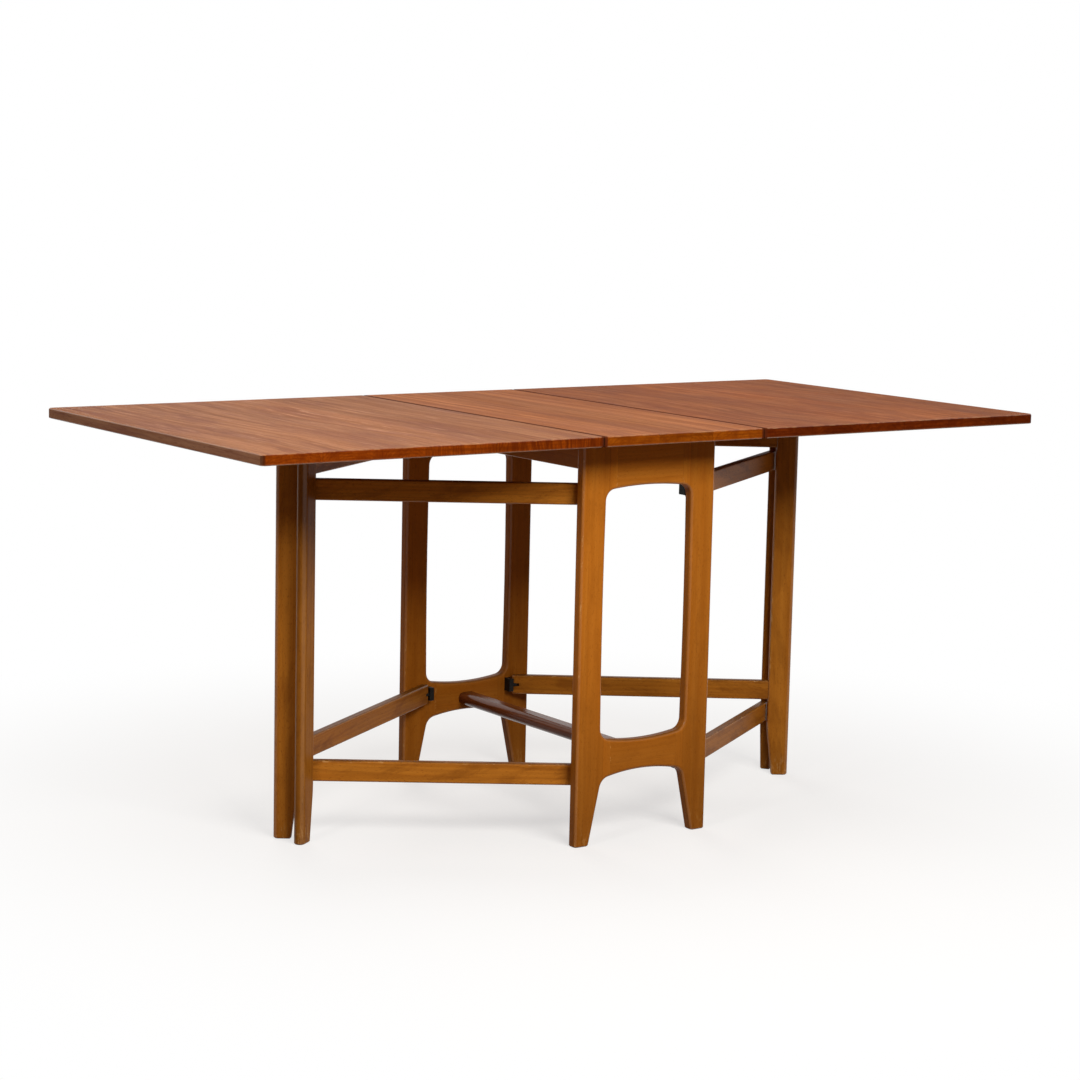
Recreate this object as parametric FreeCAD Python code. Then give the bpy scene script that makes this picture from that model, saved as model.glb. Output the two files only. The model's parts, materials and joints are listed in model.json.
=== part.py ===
import FreeCAD, Part
import math
import os
from FreeCAD import Placement, Rotation, Vector

# Folding dining table: a narrow centre panel on two end frames, and two long leaves that
# rest on four gates. The two gates of a side cross like scissors, so each leg stands on the
# outer side of the other gate's rails, and they fold flat between the end frames.
# Millimetres, +Z up, +X along the length, the front at -Y, origin on the floor under the
# middle of the top. The table is drawn open, with the gates swung out.

# Top
table_height = 725.0
table_depth = 780.0
centre_width = 338.0
leaf_length = 641.0
top_thickness = 18.0
seam_gap = 2.0
seam_corner_round = 3.0
leaf_corner_radius = 10.0
top_edge_round = 2.5

# End frames
frame_width = 283.0
frame_setback = 97.0
frame_thickness = 22.0
frame_leg_width = 51.0
frame_leg_bow = 2.0
frame_foot_width = 30.0
frame_taper_height = 97.0
top_rail_height = 82.0
top_rail_arch = 4.0
bottom_rail_underside = 125.5
bottom_rail_height = 53.5
bottom_rail_arch = 7.0
bottom_rail_dip = 5.5
opening_radius = 20.0
haunch_land = 0.5
foot_arch_radius = 22.0
frame_edge_round = 6.0
foot_chamfer = 2.0
dowel_diameter = 8.0
dowel_depth = 13.0
dowel_edge_distance = 20.0

# Stretcher and bearer between the frames
stretcher_width = 38.0
stretcher_thickness = 23.0
stretcher_round = 10.5
stretcher_drop = 4.0
bearer_thickness = 18.0
bearer_height = 77.0
bearer_edge_round = 2.0
tenon_length = 14.0
tenon_shoulder = 4.5

# Gates
gate_leg_width = 42.0
gate_leg_thickness = 20.0
gate_leg_outer_round = 9.5
gate_leg_inner_round = 4.0
gate_foot_width = 31.0
gate_taper_below_rail = 12.0
gate_taper_blend = 200.0
gate_rail_height = 37.0
gate_rail_thickness = 17.0
gate_rail_round = 3.5
gate_tenon_length = 22.0
lower_rail_underside = 102.5
upper_rail_drop = 32.0
crossing_gap = 8.5
left_open_angle = 55.9
right_open_angle = 55.2
gate_stop_gap = 1.0
leg_fold_gap = 2.0
leaf_rest_gap = 0.3

# Gate pivots
front_pivot_outset = 20.5
rear_pivot_outset = 14.5
pivot_stand_off = 10.0
block_width = 10.0
block_depth = 17.5
block_height = 25.0
block_round = 1.2
block_gap = 0.8
tongue_thickness = 5.0
tongue_radius = 6.0
tongue_gap = 0.4
pivot_pin_diameter = 5.0
pivot_pin_recess = 1.5

# Leaf hinges
hinge_setback = 91.0
hinge_length = 50.0
hinge_plate_width = 30.0
hinge_plate_thickness = 1.6
hinge_plate_corner = 3.0
knuckle_diameter = 6.4
hinge_pin_diameter = 3.0
knuckle_gap = 0.3

# Screws: head diameter, shank diameter, length
hinge_screw_head = 6.5
hinge_screw_shank = 3.5
hinge_screw_length = 13.0
hinge_screw_spacing = 28.0
block_screw_head = 7.0
block_screw_shank = 4.0
block_screw_length = 32.0
block_screw_inset = 5.0
top_screw_head = 7.5
top_screw_shank = 4.0
top_screw_length = 40.0
top_screw_grip = 11.0
top_screw_spacing = 120.0
top_screw_count = 4

# Fits
running_clearance = 0.05
seat_clearance = 0.02

# Heights and places that follow from these sizes
top_underside = table_height - top_thickness
frame_outer = frame_width / 2
frame_inner = frame_outer - frame_leg_width
frame_joint = frame_inner - opening_radius - haunch_land
frame_spread = table_depth - 2 * frame_setback
frame_face = frame_spread / 2 - frame_thickness
top_rail_underside = top_underside - top_rail_height
bottom_rail_top = bottom_rail_underside + bottom_rail_height
stretcher_height = bottom_rail_underside + bottom_rail_height / 2 - stretcher_drop
seam_middle = (centre_width + seam_gap) / 2
hinge_axis_height = top_underside - knuckle_diameter / 2
hinge_place = frame_face - hinge_setback
rear_upper_underside = top_underside - upper_rail_drop - gate_rail_height
rail_step = gate_rail_height + crossing_gap
front_pivot = frame_inner + front_pivot_outset
rear_pivot = frame_inner + rear_pivot_outset
pivot_line = frame_face - pivot_stand_off
gate_reach = pivot_line + frame_face - leg_fold_gap
leg_inside = gate_reach - gate_leg_width
top_screw_height = top_underside + top_screw_grip - top_screw_length
top_screw_places = [(step - (top_screw_count - 1) / 2) * top_screw_spacing for step in range(top_screw_count)]

SIDES = {"left": -1, "right": 1}
ENDS = ("front", "rear")
TINY = 0.01
X_AXIS = Vector(1, 0, 0)
Y_AXIS = Vector(0, 1, 0)
Z_AXIS = Vector(0, 0, 1)
ORIGIN = Vector(0, 0, 0)


def box(x, y, z):
    """Box from three (low, high) pairs."""
    sizes = [high - low for low, high in (x, y, z)]
    return Part.makeBox(*sizes, Vector(x[0], y[0], z[0]))


def prism(edges, direction):
    """Solid from a closed run of edges, pushed along a direction."""
    return Part.Face(Part.Wire(edges)).extrude(direction)


def outline(points):
    """Straight edges through the points, back to the first."""
    return [Part.LineSegment(a, b).toShape() for a, b in zip(points, points[1:] + points[:1])]


def lies_at(edge, axis, value):
    """True where a whole edge lies in the plane axis = value."""
    bounds = edge.BoundBox
    low = getattr(bounds, axis + "Min")
    high = getattr(bounds, axis + "Max")
    return abs(low - value) < TINY and abs(high - value) < TINY


def edges_where(solid, test):
    return [edge for edge in solid.Edges if test(edge)]


def cross_edge(solid, x, z):
    """The edges that run along Y through the point x, z."""
    return edges_where(solid, lambda e: lies_at(e, "X", x) and lies_at(e, "Z", z))


def placed(shape, side, end):
    """A shape drawn for the front right corner, mirrored to another corner."""
    if side == "left":
        shape = shape.mirror(ORIGIN, X_AXIS)
    if end == "rear":
        shape = shape.mirror(ORIGIN, Y_AXIS)
    return shape


def countersunk(head, shank, length, clearance=0.0):
    """Countersunk wood screw along +Z with its flat head at Z = 0, or the hole for it."""
    head_radius = head / 2 + clearance
    shank_radius = shank / 2 + clearance
    head_depth = head_radius - shank_radius
    tip_depth = shank_radius
    profile = [
        Vector(0, 0, 0),
        Vector(head_radius, 0, 0),
        Vector(shank_radius, 0, head_depth),
        Vector(shank_radius, 0, length - tip_depth),
        Vector(0, 0, length + clearance),
    ]
    return Part.Face(Part.Wire(outline(profile))).revolve(ORIGIN, Z_AXIS, 360)


def arch_slope(half_span, rise):
    """Slope at the end of a circular arch."""
    return 2 * half_span * rise / (half_span ** 2 - rise ** 2)


def arch(half_span, end_height, rise, y):
    """Circular edge from the left joint to the right joint of a frame rail."""
    start = Vector(-half_span, y, end_height)
    middle = Vector(0, y, end_height + rise)
    finish = Vector(half_span, y, end_height)
    return Part.Arc(start, middle, finish).toShape()


# Top


def panel(low, high):
    """Flat board of the top with eased arrises, between two X positions."""
    half_depth = table_depth / 2
    return box((low, high), (-half_depth, half_depth), (top_underside, table_height))


def upright_edges(board, x):
    """The upright corner edges of a board in the plane X = x."""
    return edges_where(board, lambda e: lies_at(e, "X", x) and e.BoundBox.YLength < TINY)


def ease_panel(board):
    rims = edges_where(board, lambda e: lies_at(e, "Z", table_height) or lies_at(e, "Z", top_underside))
    return board.makeFillet(top_edge_round, rims)


def centre_panel():
    edge = centre_width / 2
    board = panel(-edge, edge)
    corners = upright_edges(board, -edge) + upright_edges(board, edge)
    return ease_panel(board.makeFillet(seam_corner_round, corners))


def right_leaf():
    seam_edge = seam_middle + seam_gap / 2
    outer_edge = seam_edge + leaf_length
    board = panel(seam_edge, outer_edge)
    board = board.makeFillet(seam_corner_round, upright_edges(board, seam_edge))
    board = board.makeFillet(leaf_corner_radius, upright_edges(board, outer_edge))
    return ease_panel(board)


# End frames, drawn at the front


def ease_frame_piece(solid, skip):
    """Rounds the front and back arrises, apart from those that a test leaves out."""
    front = -frame_spread / 2
    back = -frame_face
    arrises = edges_where(solid, lambda e: (lies_at(e, "Y", front) or lies_at(e, "Y", back)) and not skip(e))
    return solid.makeFillet(frame_edge_round, arrises)


def frame_leg():
    """Right leg of the front frame, with the curved haunches that meet the rails."""
    y = -frame_spread / 2
    foot_inside = frame_outer - frame_foot_width
    upper_slope = arch_slope(frame_joint, top_rail_arch)
    middle_slope = arch_slope(frame_joint, bottom_rail_dip)
    lower_slope = arch_slope(frame_joint, bottom_rail_arch)
    upper_end = top_rail_underside - top_rail_arch
    middle_end = bottom_rail_top + bottom_rail_dip
    lower_end = bottom_rail_underside - bottom_rail_arch
    haunch = frame_inner - frame_joint
    upper_corner = upper_end - upper_slope * haunch
    middle_corner = middle_end + middle_slope * haunch
    taper = (frame_inner - foot_inside) / frame_taper_height
    lower_z = (lower_end - lower_slope * (foot_inside - frame_joint)) / (1 + lower_slope * taper)
    lower_x = foot_inside + taper * lower_z
    bow_middle = Vector(frame_inner + frame_leg_bow, y, (upper_corner + middle_corner) / 2)
    corners = [
        Vector(frame_inner, y, middle_corner),
        Vector(frame_joint, y, middle_end),
        Vector(frame_joint, y, lower_end),
        Vector(lower_x, y, lower_z),
        Vector(foot_inside, y, 0),
        Vector(frame_outer, y, 0),
        Vector(frame_outer, y, top_underside),
        Vector(frame_joint, y, top_underside),
        Vector(frame_joint, y, upper_end),
        Vector(frame_inner, y, upper_corner),
    ]
    edges = outline(corners)[:-1]
    edges.append(Part.Arc(corners[-1], bow_middle, corners[0]).toShape())
    leg = prism(edges, Vector(0, frame_thickness, 0))
    opening_corners = cross_edge(leg, frame_inner, upper_corner) + cross_edge(leg, frame_inner, middle_corner)
    leg = leg.makeFillet(opening_radius, opening_corners)
    leg = leg.makeFillet(foot_arch_radius, cross_edge(leg, lower_x, lower_z))
    leg = ease_frame_piece(leg, lambda e: lies_at(e, "X", frame_joint) or lies_at(e, "Z", top_underside)
                           or lies_at(e, "Z", 0))
    return leg.makeChamfer(foot_chamfer, edges_where(leg, lambda e: lies_at(e, "Z", 0)))


def frame_top_rail():
    y = -frame_spread / 2
    end = top_rail_underside - top_rail_arch
    sides = [
        Vector(frame_joint, y, end),
        Vector(frame_joint, y, top_underside),
        Vector(-frame_joint, y, top_underside),
        Vector(-frame_joint, y, end),
    ]
    edges = outline(sides)[:-1] + [arch(frame_joint, end, top_rail_arch, y)]
    rail = prism(edges, Vector(0, frame_thickness, 0))
    return ease_frame_piece(rail, lambda e: e.BoundBox.ZMax > top_rail_underside + TINY)


def frame_bottom_rail():
    y = -frame_spread / 2
    low_end = bottom_rail_underside - bottom_rail_arch
    high_end = bottom_rail_top + bottom_rail_dip
    edges = [
        arch(frame_joint, low_end, bottom_rail_arch, y),
        Part.LineSegment(Vector(frame_joint, y, low_end), Vector(frame_joint, y, high_end)).toShape(),
        arch(frame_joint, high_end, -bottom_rail_dip, y),
        Part.LineSegment(Vector(-frame_joint, y, high_end), Vector(-frame_joint, y, low_end)).toShape(),
    ]
    rail = prism(edges, Vector(0, frame_thickness, 0))
    return ease_frame_piece(rail, lambda e: e.BoundBox.XLength < TINY)


def frame_dowels(clearance=0.0):
    """Dowels of the front frame across the four rail joints, or the holes for them."""
    y = -frame_spread / 2 + frame_thickness / 2
    heights = [
        top_underside - dowel_edge_distance,
        top_rail_underside - top_rail_arch + dowel_edge_distance,
        bottom_rail_top + bottom_rail_dip - dowel_edge_distance,
        bottom_rail_underside - bottom_rail_arch + dowel_edge_distance,
    ]
    radius = dowel_diameter / 2 + clearance
    length = 2 * (dowel_depth + clearance)
    dowels = []
    for side in SIDES.values():
        for height in heights:
            start = Vector(side * frame_joint - length / 2, y, height)
            dowels.append(Part.makeCylinder(radius, length, start, X_AXIS))
    return dowels


# Stretcher and bearer, with a stub tenon in each end frame


def cross_bar(width, low, high, radius, rounded):
    """Bar along Y between the frames; the test picks which of its long arrises are rounded."""
    bar = box((-width / 2, width / 2), (-frame_face, frame_face), (low, high))
    arrises = edges_where(bar, lambda e: e.BoundBox.YLength > TINY and rounded(e))
    return bar.makeFillet(radius, arrises)


def stub_tenons(width, low, high):
    """The pair of tenons of a cross bar, which are also the shapes of their mortises."""
    half = width / 2 - tenon_shoulder
    reach = frame_face + tenon_length
    tenon = box((-half, half), (-reach, -frame_face), (low + tenon_shoulder, high - tenon_shoulder))
    return [tenon, tenon.mirror(ORIGIN, Y_AXIS)]


stretcher_low = stretcher_height - stretcher_thickness / 2
stretcher_high = stretcher_height + stretcher_thickness / 2
bearer_low = top_underside - bearer_height
stretcher_tenons = stub_tenons(stretcher_width, stretcher_low, stretcher_high)
bearer_tenons = stub_tenons(bearer_thickness, bearer_low, top_underside - tenon_shoulder)


def lower_stretcher():
    bar = cross_bar(stretcher_width, stretcher_low, stretcher_high, stretcher_round, lambda e: True)
    return bar.fuse(stretcher_tenons)


def top_screws(clearance=0.0):
    """Screws up through the bearer into the centre panel, or the holes for them."""
    screws = []
    for place in top_screw_places:
        screw = countersunk(top_screw_head, top_screw_shank, top_screw_length, clearance)
        screw.translate(Vector(0, place, top_screw_height))
        screws.append(screw)
    return screws


def bearer():
    """Upright board under the centre panel, counterbored from below for its screws."""
    board = cross_bar(bearer_thickness, bearer_low, top_underside, bearer_edge_round,
                      lambda e: lies_at(e, "Z", bearer_low))
    board = board.fuse(bearer_tenons)
    radius = top_screw_head / 2 + running_clearance
    depth = top_screw_height - bearer_low
    holes = top_screws(running_clearance)
    for place in top_screw_places:
        holes.append(Part.makeCylinder(radius, depth, Vector(0, place, bearer_low)))
    return board.cut(holes)


# Gates, drawn along +X from the pivot at the origin


def gate_leg(undersides):
    """Gate leg, tapered on its inner edge below the lower rail, mortised for both rails."""
    top = top_underside - leaf_rest_gap
    taper_start = lower_rail_underside - gate_taper_below_rail
    half = gate_leg_thickness / 2
    points = [
        Vector(gate_reach, -half, 0),
        Vector(gate_reach, -half, top),
        Vector(leg_inside, -half, top),
        Vector(leg_inside, -half, taper_start),
        Vector(gate_reach - gate_foot_width, -half, 0),
    ]
    leg = prism(outline(points), Vector(0, gate_leg_thickness, 0))
    leg = leg.makeFillet(gate_taper_blend, cross_edge(leg, leg_inside, taper_start))
    outer = edges_where(leg, lambda e: lies_at(e, "X", gate_reach) and e.BoundBox.ZLength > TINY
                        and e.BoundBox.YLength < TINY)
    leg = leg.makeFillet(gate_leg_outer_round, outer)
    inner = edges_where(leg, lambda e: e.BoundBox.XMax < gate_reach - gate_leg_outer_round
                        and e.BoundBox.ZLength > TINY and e.BoundBox.YLength < TINY)
    leg = leg.makeFillet(gate_leg_inner_round, inner)
    leg = leg.makeChamfer(foot_chamfer, edges_where(leg, lambda e: lies_at(e, "Z", 0)))
    return leg.cut([gate_tenon(underside) for underside in undersides])


def gate_tenon(underside):
    half = gate_rail_thickness / 2 - tenon_shoulder
    low = underside + tenon_shoulder
    high = underside + gate_rail_height - tenon_shoulder
    return box((leg_inside, leg_inside + gate_tenon_length), (-half, half), (low, high))


def pivot_pin(underside, clearance=0.0):
    """Vertical pin through the rail's end, or the hole for it."""
    radius = pivot_pin_diameter / 2 + clearance
    low = underside + pivot_pin_recess
    return Part.makeCylinder(radius, gate_rail_height - 2 * pivot_pin_recess, Vector(0, 0, low))


def gate_rail(underside):
    """Rail with a round end about the pivot, slotted for the block's tongue."""
    half = gate_rail_thickness / 2
    start = Vector(0, -half, underside)
    finish = Vector(0, half, underside)
    edges = [
        Part.Arc(finish, Vector(-half, 0, underside), start).toShape(),
        Part.LineSegment(start, Vector(leg_inside, -half, underside)).toShape(),
        Part.LineSegment(Vector(leg_inside, -half, underside), Vector(leg_inside, half, underside)).toShape(),
        Part.LineSegment(Vector(leg_inside, half, underside), finish).toShape(),
    ]
    rail = prism(edges, Vector(0, 0, gate_rail_height))
    arrises = edges_where(rail, lambda e: e.BoundBox.ZLength < TINY and not lies_at(e, "X", leg_inside))
    rail = rail.makeFillet(gate_rail_round, arrises)
    rail = rail.fuse(gate_tenon(underside))
    middle = underside + gate_rail_height / 2
    slot_half = tongue_thickness / 2 + tongue_gap
    slot_end = tongue_radius + block_gap
    slot = box((-gate_rail_thickness, slot_end), (-gate_rail_thickness, gate_rail_thickness),
               (middle - slot_half, middle + slot_half))
    return rail.cut([slot, pin_hole(underside)])


def pin_hole(underside):
    """Hole right through the rail's end, so that the pin can be driven in."""
    radius = pivot_pin_diameter / 2 + seat_clearance
    return Part.makeCylinder(radius, gate_rail_height, Vector(0, 0, underside))


def pivot_offset(end):
    return front_pivot if end == "front" else rear_pivot


def rail_heights(end):
    """Undersides of the lower and the upper rail of a gate."""
    if end == "rear":
        return [lower_rail_underside + rail_step, rear_upper_underside]
    return [lower_rail_underside, rear_upper_underside - rail_step]


def open_angle(side, end):
    """Angle of an open gate from the Y axis: the front one stops at the rear one's leg."""
    rear_angle = left_open_angle if side == "left" else right_open_angle
    if end == "rear":
        return rear_angle
    turn = math.radians(rear_angle)
    along = leg_inside + gate_leg_inner_round
    across = gate_leg_thickness / 2 - gate_leg_inner_round
    corner_x = rear_pivot + along * math.sin(turn) + across * math.cos(turn)
    corner_y = pivot_line - along * math.cos(turn) + across * math.sin(turn)
    run_x = corner_x - front_pivot
    run_y = corner_y + pivot_line
    stop = gate_rail_thickness / 2 + gate_stop_gap + gate_leg_inner_round
    return math.degrees(math.atan2(run_x, run_y) - math.asin(stop / math.hypot(run_x, run_y)))


def swung(shape, side, end):
    """A gate piece turned to its open angle and set on its pivot."""
    turned = shape.copy()
    turn = Rotation(Z_AXIS, 90 - open_angle(side, end))
    turned.Placement = Placement(Vector(pivot_offset(end), -pivot_line, 0), turn)
    return placed(turned, side, end)


def pivot_block(underside, offset):
    """Block on the front frame's right leg, with the tongue that enters the rail's end."""
    middle = underside + gate_rail_height / 2
    right = offset - gate_rail_thickness / 2 - block_gap
    body = box((right - block_width, right), (-frame_face, -frame_face + block_depth),
               (middle - block_height / 2, middle + block_height / 2))
    free = edges_where(body, lambda e: not lies_at(e, "Y", -frame_face))
    body = body.makeFillet(block_round, free)
    tongue_low = middle - tongue_thickness / 2
    tongue_y = (-pivot_line - tongue_radius, -pivot_line + tongue_radius)
    arm = box((right - block_width / 2, offset), tongue_y, (tongue_low, tongue_low + tongue_thickness))
    eye = Part.makeCylinder(tongue_radius, tongue_thickness, Vector(offset, -pivot_line, tongue_low))
    hole = pivot_pin(underside, running_clearance)
    hole.translate(Vector(offset, -pivot_line, 0))
    block = body.fuse([arm, eye]).removeSplitter()
    return block.cut([hole, block_screw(underside, offset, running_clearance)])


def block_screw(underside, offset, clearance=0.0):
    """Screw from the block's free face into the frame leg, or the hole for it."""
    x = offset - gate_rail_thickness / 2 - block_gap - block_screw_inset
    screw = countersunk(block_screw_head, block_screw_shank, block_screw_length, clearance)
    screw.rotate(ORIGIN, X_AXIS, 90)
    screw.translate(Vector(x, -frame_face + block_depth, underside + gate_rail_height / 2))
    return screw


# Leaf hinges, drawn under the right seam


def hinge_spans():
    """The Y spans of the two outer knuckles and of the middle one."""
    quarter = hinge_length / 4
    outer = [(-2 * quarter, -quarter), (quarter, 2 * quarter)]
    return outer, (-quarter + knuckle_gap, quarter - knuckle_gap)


def knuckle(span):
    start = Vector(seam_middle, span[0], hinge_axis_height)
    return Part.makeCylinder(knuckle_diameter / 2, span[1] - span[0], start, Y_AXIS)


def hinge_plate(direction, spans, other_spans, bore):
    """Flat plate with its knuckles, cut back beside the knuckles of the other plate."""
    far = seam_middle + direction * hinge_plate_width
    x = (min(seam_middle, far), max(seam_middle, far))
    z = (top_underside - hinge_plate_thickness, top_underside)
    plate = box(x, (-hinge_length / 2, hinge_length / 2), z)
    plate = plate.makeFillet(hinge_plate_corner, upright_edges(plate, far))
    reach = knuckle_diameter / 2 + knuckle_gap
    notches = [box((seam_middle - reach, seam_middle + reach), (low - knuckle_gap, high + knuckle_gap), z)
               for low, high in other_spans]
    plate = plate.cut(notches).fuse([knuckle(span) for span in spans]).removeSplitter()
    start = Vector(seam_middle, -hinge_length, hinge_axis_height)
    plate = plate.cut(Part.makeCylinder(bore / 2, 2 * hinge_length, start, Y_AXIS))
    return plate.cut(plate_screws(direction, running_clearance))


def plate_screws(direction, clearance=0.0):
    """The screws of one hinge plate, or the holes for them."""
    x = seam_middle + direction * (hinge_plate_width + knuckle_diameter / 2) / 2
    screws = []
    for step in (-0.5, 0.5):
        screw = countersunk(hinge_screw_head, hinge_screw_shank, hinge_screw_length, clearance)
        screw.translate(Vector(x, step * hinge_screw_spacing, top_underside - hinge_plate_thickness))
        screws.append(screw)
    return screws


def hinge_pin():
    start = Vector(seam_middle, -hinge_length / 2, hinge_axis_height)
    return Part.makeCylinder(hinge_pin_diameter / 2, hinge_length, start, Y_AXIS)


def along_seam(shapes):
    """Copies at both hinge places of a seam."""
    copies = []
    for shape in shapes:
        for place in (-hinge_place, hinge_place):
            copies.append(shape.translated(Vector(0, place, 0)))
    return copies


# Assembly

pieces = {}

fixed_screw_holes = along_seam(plate_screws(-1, running_clearance))
fixed_screw_holes += [hole.mirror(ORIGIN, X_AXIS) for hole in fixed_screw_holes]
pieces["centre_panel"] = centre_panel().cut(fixed_screw_holes + top_screws(running_clearance))
leaf = right_leaf().cut(along_seam(plate_screws(1, running_clearance)))

outer_spans, middle_span = hinge_spans()
fixed_bore = hinge_pin_diameter + 2 * seat_clearance
moving_bore = hinge_pin_diameter + 2 * running_clearance
hinge_groups = {
    "hinge_fixed_plates": [hinge_plate(-1, outer_spans, [middle_span], fixed_bore)],
    "hinge_moving_plates": [hinge_plate(1, [middle_span], outer_spans, moving_bore)],
    "hinge_pins": [hinge_pin()],
    "hinge_fixed_screws": plate_screws(-1),
    "hinge_moving_screws": plate_screws(1),
}
for side in SIDES:
    pieces[side + "_leaf"] = placed(leaf, side, "front")
    for name, shapes in hinge_groups.items():
        copies = [placed(shape, side, "front") for shape in along_seam(shapes)]
        pieces[side + "_" + name] = Part.makeCompound(copies)

pieces["lower_stretcher"] = lower_stretcher()
pieces["bearer"] = bearer()
pieces["top_fixing_screws"] = Part.makeCompound(top_screws())

dowel_holes = frame_dowels(seat_clearance)
for end in ENDS:
    offset = pivot_offset(end)
    screw_holes = [block_screw(height, offset, running_clearance) for height in rail_heights(end)]
    leg = frame_leg().cut(dowel_holes + screw_holes)
    lower_rail = frame_bottom_rail().cut(dowel_holes + stretcher_tenons)
    upper_rail = frame_top_rail().cut(dowel_holes + bearer_tenons)
    pieces[end + "_frame_top_rail"] = placed(upper_rail, "right", end)
    pieces[end + "_frame_bottom_rail"] = placed(lower_rail, "right", end)
    dowels = [placed(dowel, "right", end) for dowel in frame_dowels()]
    pieces[end + "_frame_dowels"] = Part.makeCompound(dowels)
    screws = []
    for side in SIDES:
        pieces[end + "_" + side + "_frame_leg"] = placed(leg, side, end)
        for height in rail_heights(end):
            screws.append(placed(block_screw(height, offset), side, end))
    pieces[end + "_block_screws"] = Part.makeCompound(screws)

for end in ENDS:
    offset = pivot_offset(end)
    heights = rail_heights(end)
    for side in SIDES:
        gate = end + "_" + side
        pieces[gate + "_gate_leg"] = swung(gate_leg(heights), side, end)
        pieces[gate + "_gate_lower_rail"] = swung(gate_rail(heights[0]), side, end)
        pieces[gate + "_gate_upper_rail"] = swung(gate_rail(heights[1]), side, end)
        pins = [swung(pivot_pin(height), side, end) for height in heights]
        pieces[gate + "_pivot_pins"] = Part.makeCompound(pins)
        blocks = [placed(pivot_block(height, offset), side, end) for height in heights]
        pieces[gate + "_pivot_blocks"] = Part.makeCompound(blocks)

os.makedirs("parts", exist_ok=True)
for name, shape in pieces.items():
    shape.exportStep("parts/" + name + ".step")
for side in SIDES:
    print(side, "front gate opens to", round(open_angle(side, "front"), 2), "degrees")
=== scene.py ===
# %% [markdown]
# A butterfly folding table in teak and golden hardwood.
# The solids come in at their real size and stay where they are.
# This lesson gives them what a drawing can't hold: a camera, soft light, and timber that
# looks sawn from real logs, because the growth rings, fibres and pores are worked out in space.

# %% The frame
import json
import math
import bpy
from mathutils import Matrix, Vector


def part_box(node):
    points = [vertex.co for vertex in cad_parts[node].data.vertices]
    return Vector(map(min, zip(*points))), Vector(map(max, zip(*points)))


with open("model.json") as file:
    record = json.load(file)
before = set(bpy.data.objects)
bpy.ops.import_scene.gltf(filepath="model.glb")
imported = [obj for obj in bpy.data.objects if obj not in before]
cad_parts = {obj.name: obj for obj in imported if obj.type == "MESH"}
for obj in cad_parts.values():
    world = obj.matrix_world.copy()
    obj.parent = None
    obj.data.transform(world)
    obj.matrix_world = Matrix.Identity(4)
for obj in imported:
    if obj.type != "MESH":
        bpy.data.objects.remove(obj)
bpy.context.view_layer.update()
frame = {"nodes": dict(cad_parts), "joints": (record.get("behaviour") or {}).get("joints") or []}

from types import SimpleNamespace
from typing import NamedTuple

import bmesh
import bpy
from mathutils import Matrix, Vector

nodes = frame["nodes"]

# %% [markdown]
# The camera stands where the photographer stood: front left, a little above the top.
# It could be placed by eye, but a turn, a tilt and a small roll are easier to read and to change.
# A long lens keeps the legs nearly upright, as in a catalogue picture.

# %% Camera
camera_place = Vector((-2.7603, -3.9482, 1.1965))
camera_turn = math.radians(34.706)
camera_tilt = math.radians(8.354)
camera_roll = math.radians(1.255)
lens_length = 89.36
sensor_width = 36.0

camera_data = bpy.data.cameras.new("camera")
camera_data.sensor_width = sensor_width
camera_data.lens = lens_length
camera = bpy.data.objects.new("camera", camera_data)
camera.matrix_world = (
    Matrix.Translation(camera_place)
    @ Matrix.Rotation(-camera_turn, 4, "Z")
    @ Matrix.Rotation(math.pi / 2 - camera_tilt, 4, "X")
    @ Matrix.Rotation(camera_roll, 4, "Z")
)
bpy.context.scene.collection.objects.link(camera)
bpy.context.scene.camera = camera
print("camera", round(camera_place.length, 2), "m from the table")

# %% [markdown]
# Materials are sums, so they are written as sums.
# A Field is one output of a node, and adding or multiplying Fields lays down Math nodes.
# The nodes could be wired by hand, but a sum on one line is easier to read and to change.

# %% Shader maths
class Field:
    """One output socket, with arithmetic that adds Math nodes."""

    def __init__(self, finish, socket):
        self.finish = finish
        self.socket = socket

    def math(self, operation, first, second=0.0):
        return self.finish.node("ShaderNodeMath", {"operation": operation}, {0: first, 1: second})

    def __add__(self, other):
        return self.math("ADD", self, other)

    def __sub__(self, other):
        return self.math("SUBTRACT", self, other)

    def __rsub__(self, other):
        return self.math("SUBTRACT", other, self)

    def __mul__(self, other):
        return self.math("MULTIPLY", self, other)

    def __truediv__(self, other):
        return self.math("DIVIDE", self, other)

    def __rtruediv__(self, other):
        return self.math("DIVIDE", other, self)

    def __pow__(self, other):
        return self.math("POWER", self, other)

    def __rpow__(self, other):
        return self.math("POWER", other, self)

    def __abs__(self):
        return self.math("ABSOLUTE", self)

    __radd__ = __add__
    __rmul__ = __mul__

    def floor(self):
        return self.math("FLOOR", self)

    def fraction(self):
        return self.math("FRACT", self)

    def most(self, other):
        return self.math("MAXIMUM", self, other)

    def rise(self, start, end):
        """0 below start, 1 above end, smooth between; start may be the larger one."""
        limits = {"Value": self, "From Min": start, "From Max": end}
        return self.finish.node("ShaderNodeMapRange", {"interpolation_type": "SMOOTHSTEP"}, limits)


print("a Field does sums with Math nodes")

# %% [markdown]
# A Finish is one material, or the world.
# Its one method, node, makes any node: the settings first, then the values or links of the sockets.
# Two short forms rest on it, for mixing colours and for the usual ending in a Principled surface.

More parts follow.
